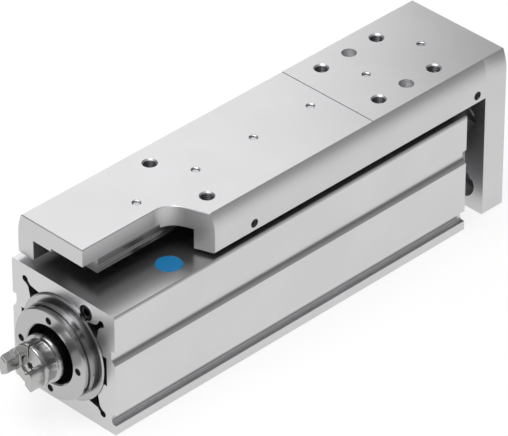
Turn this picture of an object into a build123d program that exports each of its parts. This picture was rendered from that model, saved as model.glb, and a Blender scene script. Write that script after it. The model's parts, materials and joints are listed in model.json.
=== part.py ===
from build123d import *
import os
from math import cos, pi, radians, sin, sqrt, tan

os.makedirs("parts", exist_ok=True)

# Ball screw mini slide, motor interface at -Y, yoke at +Y, guided slide on top.
# The origin is the middle of the body's underside. Sizes are in millimetres, and places
# along the travel are given as distances from the body's motor end.

# Fits shared by every pair of pieces
seat_gap = 0.02
running_gap = 0.05
loose_gap = 0.1

# Extruded body
body_width = 45.0
body_height = 44.0
body_edge = 0.4
bore_radius = 18.1
chamber_half = 15.7
chamber_waist = 12.4
channel_radius = 1.2
channel_inset = 1.0
channel_slit = 1.5
wall_recess_height = 10.4
wall_recess_depth = 0.65
groove_low = 25.9
groove_height = 5.1
groove_depth = 1.6
groove_curve = 3.1
slot_low = 3.6
slot_height = 3.9
slot_depth = 1.9
slot_corner_radius = 0.9
edge_line_depth = 0.3
edge_line_drop = 0.75
axis_height = body_height / 2

# Travel and screw
stroke = 75.0
stop_reserve = 2.5
lead = 10.0
screw_radius = 5.0
screw_ball_radius = 1.0
ball_overlap = 0.8
track_margin = 1.5
screw_ball_count = 18

# Slide plate
slide_gap = 1.5
slide_height = 14.2
slide_half_width = 21.55
slide_edge = 0.25
barrel_side = 1.5
side_arc_drop = 7.7
plate_thickness = 7.2
pocket_side_gap = 0.9
slide_front = 2.1
notch_wall = 6.8
notch_length = 35.6
notch_fillet = 8.0
notch_angle = 20.3
pad_length = 50.0
pad_rise = 0.1
line_width = 0.3
line_depth = 0.2
over_cut = 1.0
side_hole_radius = 1.5
side_hole_depth = 4.0
side_hole_height = 2.95
side_hole_front = 57.9
side_hole_rear = 3.9

# Load holes on the slide and the yoke
load_pitch = 25.0
load_thread_radius = 2.1
load_countersink = 2.55
load_rear_offset = 14.8
load_front_offset = 75.0
centring_radius = 2.5
centring_depth = 2.0

# Yoke plate
yoke_gap = 9.5
yoke_thickness = 9.7
yoke_edge = 0.3
yoke_low = 0.8
yoke_hole_radius = 2.75
yoke_recess_radius = 5.0
yoke_recess_depth = 5.4
yoke_screw_inner = 5.0
yoke_screw_side = 3.55
yoke_screw_outer_drop = 6.1
yoke_screw_length = 8.0
yoke_screw_spare = 1.0
dowel_radius = 1.5
dowel_side = 11.0
dowel_length = 6.0
dowel_sink = 0.5

# Guide rail and carriage
rail_half = 7.0
rail_height = 5.2
rail_edge = 0.35
rail_sink = 1.1
rail_front = 6.1
rail_rear = 0.9
rail_ball_radius = 0.8
rail_ball_drop = 2.7
rail_hole_front = 29.0
rail_hole_pitch = 25.0
rail_hole_rear = 5.0
rail_ball_margin = 2.0
carriage_setback = 12.0
carriage_length = 52.0
carriage_half = 14.0
carriage_edge = 0.6
carriage_top_gap = 0.5
carriage_floor_gap = 0.4
carriage_cap = 4.4
carriage_cap_drop = 0.2
carriage_screw_half = 10.9
carriage_screw_pitch = 26.0
carriage_shank = 1.25
carriage_head = 2.2
carriage_head_sink = 1.0
carriage_bite = 5.0
rail_ball_count = 14

# Socket screws of the 3 mm size, used at the rail, carriage, yoke and end cap
small_shank = 1.5
small_head = 2.75
small_head_height = 2.2
small_head_sink = 0.4
small_socket = 2.0
small_thread_end = 0.5
head_clearance = 0.25
key_depth_share = 0.55

# Motor flange and its bearing
flange_projection = 6.1
flange_disc = 15.6
flange_disc_thickness = 1.4
flange_groove_depth = 1.3
flange_groove_width = 0.7
flange_collar_width = 1.7
flange_wide_groove = 1.5
flange_depth = 22.0
flange_bore = 10.05
flange_hole_circle = 12.5
flange_thread_radius = 1.25
flange_thread_depth = 5.2
turned_edge = 0.4
turned_step = 0.3
bearing_start = 6.0
bearing_width = 12.0
bearing_outer = 13.0
bearing_inner = 4.0
bearing_pitch = 8.7
bearing_ball = 1.7
bearing_ball_count = 10
bearing_row_half = 2.76
race_shoulder = 1.0
cage_half = 0.6
cage_margin = 0.8
clamp_ring_inner = 9.2
clamp_pin_radius = 0.75
clamp_pin_depth = 2.0
buffer_thickness = 2.5
buffer_gap = 1.1
buffer_inner = 10.0
lock_screw_x = 10.1
lock_screw_height = 17.6
lock_screw_head = 2.6
lock_screw_head_height = 1.6
lock_screw_recess = 2.0
lock_screw_length = 7.0
lock_screw_tapped = 8.0
lock_screw_socket = 2.5

# Coupling hub
hub_radius = 7.4
hub_face = 14.6
hub_collar = 2.2
hub_neck_radius = 6.9
hub_neck = 3.2
hub_tail_radius = 8.0
hub_tail = 1.8
hub_sleeve_radius = 6.8
hub_end = 1.0
hub_slit = 0.5
hub_slit_stop = 3.0
jaw_length = 5.6
jaw_inner = 4.0
jaw_inner_half = 2.1
jaw_outer_half = 3.65
jaw_outer = 6.4
jaw_root_length = 1.8
jaw_root_margin = 0.45
jaw_edge = 0.35
hub_pocket_gap = 0.3
hub_pocket_depth = 3.4
hub_web = 1.2
hub_screw_head = 3.4
hub_screw_height = 2.8
hub_screw_bite = 8.0
hub_screw_socket = 2.5
journal_radius = 3.0
journal_step = 0.5
journal_tapped = 9.0

# Spindle, nut and piston rod
lock_nut_width = 4.6
lock_nut_radius = 7.4
lock_nut_slot_width = 2.0
lock_nut_slot_depth = 1.2
shoulder_radius = 6.0
shoulder_length = 2.5
nut_stop_gap = 1.5
nut_length = 28.0
nut_radius = 11.0
nut_end_wall = 2.5
rod_seat_depth = 4.0
guide_setback = 4.0
guide_length = 18.0
guide_gap = 0.3
guide_corner = 1.0
magnet_length = 2.6
magnet_radius = 13.5
rod_radius = 8.0
rod_bore = 6.5
rod_plug_length = 16.0
rod_bolt = 3.0
rod_bolt_depth = 11.0
rod_bolt_head = 5.0
rod_bolt_head_height = 5.0
rod_bolt_sink = 0.5
rod_bolt_spare = 1.0
rod_bolt_socket = 5.0
end_journal_radius = 3.5
end_journal_length = 5.0
support_ring_length = 4.0
end_play = 0.5

# Rod end cap
cap_depth = 20.0
cap_plate = 3.0
cap_plate_half = 19.3
cap_plate_corner = 3.0
cap_rod_gap = 0.5
bush_wall = 1.5
bush_length = 15.0
seal_wall = 2.4
seal_length = 4.0
seal_lip = 0.8
seal_relief = 0.6
seal_rise = 0.4
cap_screw_length = 9.0
cap_screw_head = 2.1
cap_screw_head_height = 1.6

# Lubrication plug
plug_radius = 4.35
plug_seat = 2.5
plug_inset = 8.6
plug_place = 31.1
plug_hole_gap = 0.4
plug_stem = 1.6
plug_stem_length = 2.0
plug_edge = 0.15

# Mounting holes in the underside
base_hole_radius = 1.65
base_hole_depth = 5.0
base_hole_half = 10.0
base_hole_pitch = 100.0

# Worked out from the sizes above. The body is as long as the nut's travel and its ends need,
# and the slide reaches over its whole length
nut_start = flange_depth + buffer_thickness + nut_stop_gap
nut_end = nut_start + nut_length
guide_start = nut_start + guide_setback
body_length = nut_end + stroke + stop_reserve + buffer_thickness + cap_depth
slide_low = body_height + slide_gap
slide_top = slide_low + slide_height
plate_low = slide_top - plate_thickness
yoke_inner = body_length + yoke_gap
yoke_outer = yoke_inner + yoke_thickness
slide_length = yoke_inner - slide_front
slide_top_half = slide_half_width - barrel_side
pocket_half = carriage_half + pocket_side_gap
rail_top = plate_low + rail_sink
rail_low = rail_top - rail_height
rail_start = slide_front + rail_front
rail_end = yoke_inner - rail_rear
first_rail_hole = slide_front + rail_hole_front
rail_hole_count = int((rail_end - rail_hole_rear - first_rail_hole) / rail_hole_pitch) + 1
rail_ball_height = rail_top - rail_ball_drop
rail_ball_side = rail_half + rail_ball_radius / 2
rail_groove_radius = rail_ball_radius + running_gap
carriage_end = body_length - carriage_setback
carriage_start = carriage_end - carriage_length
flange_radius = bore_radius - loose_gap
flange_groove = flange_disc - flange_groove_depth
buffer_outer = bore_radius - buffer_gap
bearing_end = bearing_start + bearing_width
screw_start = bearing_end + shoulder_length
cap_start = body_length - cap_depth
screw_end = cap_start - end_journal_length
journal_end = screw_end + end_journal_length + end_play
ball_track_radius = screw_radius + screw_ball_radius - ball_overlap
nut_track_bore = ball_track_radius + screw_ball_radius + running_gap
nut_bore = screw_radius + loose_gap * 3
rod_start = nut_start + nut_length - rod_seat_depth
load_rear = yoke_inner - load_rear_offset
channel_place = chamber_half + channel_inset
cap_screw_shank = channel_radius - running_gap
yoke_screw_spots = [
    (side * place, height)
    for side in (-1, 1)
    for place, height in (
        (yoke_screw_inner, slide_top - plate_thickness / 2),
        (slide_half_width - yoke_screw_side, slide_top - yoke_screw_outer_drop),
    )
]
dowel_spots = [(side * dowel_side, slide_top - plate_thickness / 2) for side in (-1, 1)]
hub_pocket_radius = hub_screw_head + hub_pocket_gap
hub_journal_end = hub_face - hub_pocket_depth - hub_web
hub_slit_reach = max(hub_radius, hub_tail_radius) + over_cut
screw_axis = Axis((0, -body_length / 2, axis_height), (0, 1, 0))
turning_plane = Plane(origin=(0, -body_length / 2, axis_height), x_dir=(0, 1, 0), z_dir=(1, 0, 0))


def along(distance):
    """Y of a place given as its distance from the body's motor end."""
    return distance - body_length / 2


def across(distance):
    """Upright plane across the travel, with its local axes along X and Z; it faces the motor."""
    return Plane.XZ.offset(-along(distance))


def rear_face(distance):
    """Upright plane across the travel that faces the yoke; its local axes are -X and Z."""
    return Plane(origin=(0, along(distance), 0), x_dir=(-1, 0, 0), z_dir=(0, 1, 0))


def facing_down(height):
    """Level plane that faces down; its local axes are X and -Y."""
    return Plane(origin=(0, 0, height), x_dir=(1, 0, 0), z_dir=(0, 0, -1))


def turn(*corners, mode=Mode.ADD):
    """Revolve a half section about the screw axis; corners are (distance, radius)."""
    with BuildSketch(turning_plane) as half_section:
        with BuildLine():
            Polyline(*corners, close=True)
        make_face()
    revolve(half_section.sketch, axis=screw_axis, mode=mode)


def ring(start, end, inner, outer, mode=Mode.ADD):
    """Plain ring or disc about the screw axis."""
    turn((start, inner), (end, inner), (end, outer), (start, outer), mode=mode)


def drill(plane, places, radius, depth, mode=Mode.SUBTRACT):
    """Round holes, or pins with Mode.ADD, that go from the plane against its normal."""
    with BuildSketch(plane) as circles:
        with Locations(*places):
            Circle(radius)
    extrude(circles.sketch, amount=-depth, mode=mode)


def cone_mouths(plane, places, outer, inner):
    """Countersinks of 45 degrees at the mouths of holes."""
    for place in places:
        with BuildSketch(plane) as wide:
            with Locations(place):
                Circle(outer)
        extrude(wide.sketch, amount=-(outer - inner), taper=45, mode=Mode.SUBTRACT)


def socket_screws(seat, places, head, height, shank, length, socket):
    """Socket head screws whose heads stand on the seat plane and whose shanks go below it."""
    drill(seat.offset(height), places, head, height, mode=Mode.ADD)
    drill(seat, places, shank, length, mode=Mode.ADD)
    with BuildSketch(seat.offset(height)) as keys:
        with Locations(*places):
            RegularPolygon(socket / 2, 6, major_radius=False)
    extrude(keys.sketch, amount=-height * key_depth_share, mode=Mode.SUBTRACT)


def chamber_outline(half, waist):
    """Square about the screw axis whose sides are drawn in at their middles."""
    points = []
    for side, level in ((1, 1), (-1, 1), (-1, -1), (1, -1)):
        points.append((side * half, axis_height + level * half))
        if side == level:
            points.append((0, axis_height + level * waist))
        else:
            points.append((side * waist, axis_height))
    Polyline(*points, close=True)


# Extruded body with its corner chambers, screw channels, side grooves and holes
edge_line_height = body_height - edge_line_drop
half_width = body_width / 2
with BuildPart() as profile_housing:
    with BuildSketch(across(0)):
        with BuildLine():
            lower = Polyline(
                (0, 0),
                (half_width - body_edge, 0),
                (half_width, body_edge),
                (half_width, slot_low),
                (half_width - slot_depth + slot_corner_radius, slot_low),
            )
            slot_corner = RadiusArc(
                lower @ 1, (half_width - slot_depth, slot_low + slot_corner_radius), slot_corner_radius
            )
            Polyline(
                slot_corner @ 1,
                (half_width - slot_depth, slot_low + slot_height),
                (half_width, slot_low + slot_height),
                (half_width, groove_low),
            )
            groove_back = (half_width - groove_depth, groove_low + groove_curve)
            TangentArc(groove_back, (half_width, groove_low), tangent=(0, -1))
            Polyline(
                groove_back,
                (half_width - groove_depth, groove_low + groove_height),
                (half_width, groove_low + groove_height),
                (half_width, edge_line_height - edge_line_depth / 2),
                (half_width - edge_line_depth, edge_line_height),
                (half_width, edge_line_height + edge_line_depth / 2),
                (half_width, body_height - body_edge),
                (half_width - body_edge, body_height),
                (0, body_height),
            )
            mirror(about=Plane.YZ)
        make_face()
        with BuildLine():
            chamber_outline(chamber_half, chamber_waist)
        make_face(mode=Mode.SUBTRACT)
        with Locations((0, axis_height)):
            Circle(bore_radius, mode=Mode.SUBTRACT)
            Rectangle(2 * (bore_radius + wall_recess_depth), wall_recess_height, mode=Mode.SUBTRACT)
            for turn_angle in (45, 135):
                Rectangle(
                    2 * sqrt(2) * channel_place, channel_slit, rotation=turn_angle, mode=Mode.SUBTRACT
                )
            with GridLocations(2 * channel_place, 2 * channel_place, 2, 2):
                Circle(channel_radius, mode=Mode.SUBTRACT)
    extrude(amount=-body_length)
    top_plane = Plane.XY.offset(body_height)
    under_plane = facing_down(0)
    wall_depth = body_height - axis_height - chamber_waist + over_cut
    plug_spot = [(half_width - plug_inset, along(plug_place))]
    drill(top_plane, plug_spot, plug_radius + seat_gap, plug_seat)
    drill(top_plane, plug_spot, plug_stem + plug_hole_gap, wall_depth)
    carriage_spots = [
        (side * carriage_screw_half, along(carriage_start + carriage_length / 2 + step))
        for side in (-1, 1)
        for step in (-carriage_screw_pitch / 2, carriage_screw_pitch / 2)
    ]
    drill(top_plane, carriage_spots, carriage_shank + seat_gap, wall_depth)
    base_spots = [
        (side * base_hole_half, end * base_hole_pitch / 2) for side in (-1, 1) for end in (-1, 1)
    ]
    drill(under_plane, base_spots, base_hole_radius, base_hole_depth)
    base_centring = [(0, -base_hole_pitch / 2), (0, base_hole_pitch / 2)]
    drill(under_plane, base_centring, centring_radius, centring_depth)
    lock_spot = [(lock_screw_x, axis_height + lock_screw_height)]
    drill(across(0), lock_spot, lock_screw_head + loose_gap, lock_screw_recess)
    drill(across(0), lock_spot, flange_thread_radius + seat_gap, lock_screw_recess + lock_screw_tapped)
profile_housing.part.label = "profile_housing"
export_step(profile_housing.part, "parts/profile_housing.step")

# Motor flange, a turned bearing cap that is pushed into the body's bore
flange_face = -flange_projection
disc_end = flange_face + flange_disc_thickness
collar_start = disc_end + flange_groove_width
collar_end = collar_start + flange_collar_width
land_start = collar_end + flange_wide_groove
flange_spots = [
    (flange_hole_circle * cos(radians(angle)), axis_height + flange_hole_circle * sin(radians(angle)))
    for angle in (0, 90, 180, 270)
]
with BuildPart() as motor_flange:
    turn(
        (flange_face, flange_bore + turned_edge),
        (flange_face + turned_edge, flange_bore),
        (bearing_start, flange_bore),
        (bearing_start, bearing_outer + seat_gap),
        (flange_depth, bearing_outer + seat_gap),
        (flange_depth, flange_radius),
        (land_start + turned_edge, flange_radius),
        (land_start, flange_radius - turned_edge),
        (land_start, flange_groove),
        (collar_end, flange_groove),
        (collar_end, flange_disc + turned_step),
        (collar_start, flange_disc + turned_step),
        (collar_start, flange_groove + turned_edge),
        (disc_end, flange_groove + turned_edge),
        (disc_end, flange_disc),
        (flange_face + turned_edge, flange_disc),
        (flange_face, flange_disc - turned_edge),
    )
    drill(across(flange_face), flange_spots, flange_thread_radius, flange_thread_depth)
    lock_run = lock_screw_recess - land_start
    drill(across(land_start), lock_spot, lock_screw_head + loose_gap, lock_run)
motor_flange.part.label = "motor_flange"
export_step(motor_flange.part, "parts/motor_flange.step")

# Screw beside the bore whose head holds the flange in place
with BuildPart() as flange_lock_screw:
    socket_screws(
        across(lock_screw_recess),
        lock_spot,
        lock_screw_head,
        lock_screw_head_height,
        flange_thread_radius,
        lock_screw_length,
        lock_screw_socket,
    )
flange_lock_screw.part.label = "flange_lock_screw"
export_step(flange_lock_screw.part, "parts/flange_lock_screw.step")

# Double row ball bearing of the spindle: outer ring, inner ring, cage and balls
bearing_middle = bearing_start + bearing_width / 2
row_places = [bearing_middle - bearing_row_half, bearing_middle + bearing_row_half]
race_radius = bearing_ball + running_gap
with BuildPart() as bearing_outer_ring:
    ring(bearing_start, bearing_end, bearing_pitch + race_shoulder, bearing_outer)
    for row in row_places:
        with BuildSketch(turning_plane):
            with Locations((row, bearing_pitch)):
                Circle(race_radius)
        revolve(axis=screw_axis, mode=Mode.SUBTRACT)
bearing_outer_ring.part.label = "bearing_outer_ring"
export_step(bearing_outer_ring.part, "parts/bearing_outer_ring.step")

with BuildPart() as bearing_inner_ring:
    ring(bearing_start, bearing_end, bearing_inner + seat_gap, bearing_pitch - race_shoulder)
    for row in row_places:
        with BuildSketch(turning_plane):
            with Locations((row, bearing_pitch)):
                Circle(race_radius)
        revolve(axis=screw_axis, mode=Mode.SUBTRACT)
bearing_inner_ring.part.label = "bearing_inner_ring"
export_step(bearing_inner_ring.part, "parts/bearing_inner_ring.step")

ball_angles = [360 * index / bearing_ball_count for index in range(bearing_ball_count)]
bearing_ball_places = [
    Location(
        (
            bearing_pitch * cos(radians(angle)),
            along(row),
            axis_height + bearing_pitch * sin(radians(angle)),
        ),
        (0, 90 - angle, 0),
    )
    for row in row_places
    for angle in ball_angles
]
with BuildPart() as bearing_balls:
    with Locations(*bearing_ball_places):
        Sphere(bearing_ball)
bearing_balls.part.label = "bearing_balls"
export_step(bearing_balls.part, "parts/bearing_balls.step")

with BuildPart() as bearing_cage:
    ring(
        bearing_start + cage_margin,
        bearing_end - cage_margin,
        bearing_pitch - cage_half,
        bearing_pitch + cage_half,
    )
    with Locations(*bearing_ball_places):
        Cylinder(race_radius, 4 * cage_half, mode=Mode.SUBTRACT)
bearing_cage.part.label = "bearing_cage"
export_step(bearing_cage.part, "parts/bearing_cage.step")

# Threaded ring that clamps the bearing in the flange, and the rubber stop behind it
with BuildPart() as bearing_clamp_ring:
    ring(bearing_end, flange_depth, clamp_ring_inner, bearing_outer)
    with BuildSketch(across(flange_depth)) as pin_holes:
        with Locations((0, axis_height)):
            with PolarLocations((clamp_ring_inner + bearing_outer) / 2, 4):
                Circle(clamp_pin_radius)
    extrude(pin_holes.sketch, amount=clamp_pin_depth, mode=Mode.SUBTRACT)
bearing_clamp_ring.part.label = "bearing_clamp_ring"
export_step(bearing_clamp_ring.part, "parts/bearing_clamp_ring.step")

with BuildPart() as motor_end_buffer:
    ring(flange_depth, flange_depth + buffer_thickness, buffer_inner, buffer_outer)
motor_end_buffer.part.label = "motor_end_buffer"
export_step(motor_end_buffer.part, "parts/motor_end_buffer.step")

# Spindle: coupling journal, bearing seat, shoulder, screw and end journal. Its ball track
# is a round groove swept along the helix that the nut's balls lie on
track_start = screw_start + track_margin
track_turn = 2 * pi * track_start / lead
track_plane = Plane(
    origin=(0, along(track_start), axis_height),
    x_dir=(sin(track_turn), 0, cos(track_turn)),
    z_dir=(0, 1, 0),
)
with BuildPart() as spindle:
    turn(
        (-hub_journal_end, 0),
        (-hub_journal_end, journal_radius - turned_step),
        (-hub_journal_end + turned_step, journal_radius),
        (journal_step, journal_radius),
        (journal_step, bearing_inner),
        (bearing_end, bearing_inner),
        (bearing_end, shoulder_radius),
        (screw_start, shoulder_radius),
        (screw_start, screw_radius),
        (screw_end, screw_radius),
        (screw_end, end_journal_radius),
        (journal_end, end_journal_radius),
        (journal_end, 0),
    )
    drill(across(-hub_journal_end), [(0, axis_height)], small_shank + seat_gap, journal_tapped)
    track = track_plane * Helix(lead, screw_end - track_margin - track_start, ball_track_radius)
    with BuildSketch(Plane(origin=track @ 0, z_dir=track % 0)):
        Circle(screw_ball_radius + loose_gap)
    sweep(path=track, is_frenet=True, mode=Mode.SUBTRACT)
spindle.part.label = "spindle"
export_step(spindle.part, "parts/spindle.step")

with BuildPart() as lock_nut:
    ring(bearing_start - lock_nut_width, bearing_start, bearing_inner + seat_gap, lock_nut_radius)
    with BuildSketch(across(bearing_start - lock_nut_width)) as slots:
        with Locations((0, axis_height)):
            with PolarLocations(lock_nut_radius, 4):
                Rectangle(2 * lock_nut_slot_depth, lock_nut_slot_width)
    extrude(slots.sketch, amount=-lock_nut_width, mode=Mode.SUBTRACT)
lock_nut.part.label = "lock_nut"
export_step(lock_nut.part, "parts/lock_nut.step")

# Coupling hub with two jaws, a clamping slit and a central screw
with BuildPart() as coupling_hub:
    turn(
        (-hub_face, hub_pocket_radius),
        (-hub_face, hub_radius - turned_step),
        (-hub_face + turned_step, hub_radius),
        (-hub_face + hub_collar, hub_radius),
        (-hub_face + hub_collar + turned_step, hub_neck_radius),
        (-hub_face + hub_collar + hub_neck, hub_neck_radius),
        (-hub_face + hub_collar + hub_neck + turned_step, hub_tail_radius),
        (-hub_face + hub_collar + hub_neck + hub_tail, hub_tail_radius),
        (-hub_face + hub_collar + hub_neck + hub_tail, hub_sleeve_radius),
        (-hub_end, hub_sleeve_radius),
        (-hub_end, journal_radius + seat_gap),
        (-hub_journal_end, journal_radius + seat_gap),
        (-hub_journal_end, small_shank + loose_gap),
        (-hub_face + hub_pocket_depth, small_shank + loose_gap),
        (-hub_face + hub_pocket_depth, hub_pocket_radius),
    )
    flank = (jaw_outer_half - jaw_inner_half) / (jaw_outer - jaw_inner)
    far_half = jaw_inner_half + flank * (hub_radius + over_cut - jaw_inner)
    for margin, length in ((0, jaw_length), (jaw_root_margin, jaw_root_length)):
        with BuildSketch(across(-hub_face)) as jaws:
            for side in (-1, 1):
                with BuildLine():
                    Polyline(
                        (side * jaw_inner, axis_height - jaw_inner_half - margin),
                        (side * (hub_radius + over_cut), axis_height - far_half - margin),
                        (side * (hub_radius + over_cut), axis_height + far_half + margin),
                        (side * jaw_inner, axis_height + jaw_inner_half + margin),
                        close=True,
                    )
                make_face()
            with Locations((0, axis_height)):
                Circle(hub_radius, mode=Mode.INTERSECT)
        extrude(amount=length)
    tips = coupling_hub.faces().filter_by(Axis.Y).sort_by(Axis.Y)[:2]
    chamfer(tips.edges(), jaw_edge)
    with BuildSketch(across(-hub_face)) as slit:
        with Locations((0, axis_height + hub_slit_reach / 2)):
            Rectangle(hub_slit, hub_slit_reach)
    extrude(amount=-(hub_face - hub_slit_stop), mode=Mode.SUBTRACT)
coupling_hub.part.label = "coupling_hub"
export_step(coupling_hub.part, "parts/coupling_hub.step")

with BuildPart() as coupling_screw:
    socket_screws(
        across(-hub_face + hub_pocket_depth),
        [(0, axis_height)],
        hub_screw_head,
        hub_screw_height,
        small_shank,
        hub_web + hub_screw_bite,
        hub_screw_socket,
    )
coupling_screw.part.label = "coupling_screw"
export_step(coupling_screw.part, "parts/coupling_screw.step")

# Plastic ring that steadies the spindle's free end inside the rod
with BuildPart() as spindle_support_ring:
    ring(
        screw_end + end_play,
        screw_end + end_play + support_ring_length,
        end_journal_radius + seat_gap,
        rod_bore - running_gap,
    )
spindle_support_ring.part.label = "spindle_support_ring"
export_step(spindle_support_ring.part, "parts/spindle_support_ring.step")

# Ball nut, its balls on the screw's helix, the guide that stops it turning, and its magnet
with BuildPart() as ball_nut:
    turn(
        (nut_start, nut_bore),
        (nut_start + nut_end_wall, nut_bore),
        (nut_start + nut_end_wall, nut_track_bore),
        (rod_start - nut_end_wall, nut_track_bore),
        (rod_start - nut_end_wall, nut_bore),
        (rod_start, nut_bore),
        (rod_start, rod_radius + seat_gap),
        (nut_end, rod_radius + seat_gap),
        (nut_end, nut_radius),
        (nut_start, nut_radius),
    )
ball_nut.part.label = "ball_nut"
export_step(ball_nut.part, "parts/ball_nut.step")

ball_margin = nut_end_wall + screw_ball_radius + loose_gap
ball_run = rod_start - nut_start - 2 * ball_margin
with BuildPart() as nut_balls:
    for index in range(screw_ball_count):
        place = nut_start + ball_margin + ball_run * index / (screw_ball_count - 1)
        angle = 2 * pi * place / lead
        with Locations(
            (
                ball_track_radius * sin(angle),
                along(place),
                axis_height + ball_track_radius * cos(angle),
            )
        ):
            Sphere(screw_ball_radius)
nut_balls.part.label = "nut_balls"
export_step(nut_balls.part, "parts/nut_balls.step")

guide_half = chamber_half - guide_gap
with BuildPart() as nut_guide_ring:
    with BuildSketch(across(guide_start)) as guide_section:
        with BuildLine():
            chamber_outline(guide_half, chamber_waist - guide_gap)
        make_face()
        fillet(guide_section.vertices().sort_by_distance((0, axis_height, 0))[-4:], guide_corner)
        with Locations((0, axis_height)):
            Circle(nut_radius + seat_gap, mode=Mode.SUBTRACT)
    extrude(amount=-guide_length)
nut_guide_ring.part.label = "nut_guide_ring"
export_step(nut_guide_ring.part, "parts/nut_guide_ring.step")

with BuildPart() as nut_magnet_ring:
    magnet_start = guide_start + guide_length
    ring(magnet_start, magnet_start + magnet_length, nut_radius + seat_gap, magnet_radius)
nut_magnet_ring.part.label = "nut_magnet_ring"
export_step(nut_magnet_ring.part, "parts/nut_magnet_ring.step")

# Hollow piston rod with a tapped end at the yoke
with BuildPart() as piston_rod:
    turn(
        (rod_start, rod_bore),
        (yoke_inner - rod_plug_length, rod_bore),
        (yoke_inner - rod_plug_length, 0),
        (yoke_inner, 0),
        (yoke_inner, rod_radius),
        (rod_start, rod_radius),
    )
    drill(across(yoke_inner - rod_bolt_depth), [(0, axis_height)], rod_bolt + seat_gap, rod_bolt_depth)
piston_rod.part.label = "piston_rod"
export_step(piston_rod.part, "parts/piston_rod.step")

# Rod end cap in the body, with its bush, wiper, rubber stop and four screws
cap_end = body_length + cap_plate
cap_spots = [
    (side * channel_place, axis_height + level * channel_place) for side in (-1, 1) for level in (-1, 1)
]
bush_radius = rod_radius + running_gap + bush_wall
seal_radius = rod_radius + running_gap + seal_wall
with BuildPart() as rod_end_cap:
    with BuildSketch(across(body_length)):
        with Locations((0, axis_height)):
            RectangleRounded(2 * cap_plate_half, 2 * cap_plate_half, cap_plate_corner)
    extrude(amount=-cap_plate)
    ring(cap_start, body_length, rod_radius, flange_radius)
    ring(cap_start, cap_end, 0, rod_radius + cap_rod_gap, mode=Mode.SUBTRACT)
    ring(cap_start, cap_start + bush_length, 0, bush_radius + seat_gap, mode=Mode.SUBTRACT)
    ring(cap_end - seal_length, cap_end, 0, seal_radius + seat_gap, mode=Mode.SUBTRACT)
    drill(rear_face(cap_end), cap_spots, cap_screw_head + loose_gap, cap_screw_head_height)
    drill(rear_face(cap_end), cap_spots, cap_screw_shank + loose_gap, cap_plate)
rod_end_cap.part.label = "rod_end_cap"
export_step(rod_end_cap.part, "parts/rod_end_cap.step")

with BuildPart() as rod_bush:
    ring(cap_start, cap_start + bush_length, rod_radius + running_gap, bush_radius)
rod_bush.part.label = "rod_bush"
export_step(rod_bush.part, "parts/rod_bush.step")

with BuildPart() as wiper_seal:
    lip = rod_radius + running_gap
    turn(
        (cap_end - seal_length, lip + seal_relief),
        (cap_end - 2 * seal_lip, lip + seal_relief),
        (cap_end - seal_lip, lip),
        (cap_end, lip),
        (cap_end + seal_rise, lip + seal_rise),
        (cap_end + seal_rise, seal_radius - seal_lip),
        (cap_end, seal_radius),
        (cap_end - seal_length, seal_radius),
    )
wiper_seal.part.label = "wiper_seal"
export_step(wiper_seal.part, "parts/wiper_seal.step")

with BuildPart() as rod_end_buffer:
    ring(cap_start - buffer_thickness, cap_start, buffer_inner, buffer_outer)
rod_end_buffer.part.label = "rod_end_buffer"
export_step(rod_end_buffer.part, "parts/rod_end_buffer.step")

with BuildPart() as end_cap_screws:
    socket_screws(
        rear_face(cap_end - cap_screw_head_height),
        cap_spots,
        cap_screw_head,
        cap_screw_head_height,
        cap_screw_shank,
        cap_screw_length,
        small_socket,
    )
end_cap_screws.part.label = "end_cap_screws"
export_step(end_cap_screws.part, "parts/end_cap_screws.step")

# Lubrication plug pressed into the top of the body beside the guide
with BuildPart() as lubrication_plug:
    drill(top_plane, plug_spot, plug_radius, plug_seat, mode=Mode.ADD)
    drill(top_plane.offset(-plug_seat), plug_spot, plug_stem, plug_stem_length, mode=Mode.ADD)
    rim = lubrication_plug.faces().sort_by(Axis.Z)[-1].edges()
    chamfer(rim, plug_edge)
lubrication_plug.part.label = "lubrication_plug"
export_step(lubrication_plug.part, "parts/lubrication_plug.step")

# Guide rail, fixed upside down under the slide plate
rail_length = rail_end - rail_start
rail_spots = [
    (0, -along(first_rail_hole + rail_hole_pitch * index)) for index in range(rail_hole_count)
]
head_depth = small_head_height + small_head_sink
with BuildPart() as guide_rail:
    with BuildSketch(across(rail_start)):
        with Locations((0, rail_low + rail_height / 2)):
            rail_section = Rectangle(2 * rail_half, rail_height)
        chamfer(rail_section.vertices(), rail_edge)
        with Locations((-rail_ball_side, rail_ball_height), (rail_ball_side, rail_ball_height)):
            Circle(rail_groove_radius, mode=Mode.SUBTRACT)
    extrude(amount=-rail_length)
    drill(facing_down(rail_low), rail_spots, small_head + head_clearance, head_depth)
    drill(facing_down(rail_low), rail_spots, small_shank + seat_gap, rail_height)
guide_rail.part.label = "guide_rail"
export_step(guide_rail.part, "parts/guide_rail.step")

with BuildPart() as rail_screws:
    rail_seat = rail_low + head_depth
    socket_screws(
        facing_down(rail_seat),
        rail_spots,
        small_head,
        small_head_height,
        small_shank,
        slide_top - small_thread_end - rail_seat,
        small_socket,
    )
rail_screws.part.label = "rail_screws"
export_step(rail_screws.part, "parts/rail_screws.step")

# Guide carriage, a channel open at the top that is screwed to the body
arm_inner = rail_half + loose_gap * 3
carriage_top = plate_low - carriage_top_gap
carriage_floor = rail_low - carriage_floor_gap


def carriage_outline(inner, floor, top):
    """U section of the carriage and its end caps."""
    Polyline(
        (-carriage_half, body_height),
        (carriage_half, body_height),
        (carriage_half, top - carriage_edge),
        (carriage_half - carriage_edge, top),
        (inner, top),
        (inner, floor),
        (-inner, floor),
        (-inner, top),
        (-carriage_half + carriage_edge, top),
        (-carriage_half, top - carriage_edge),
        close=True,
    )


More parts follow.
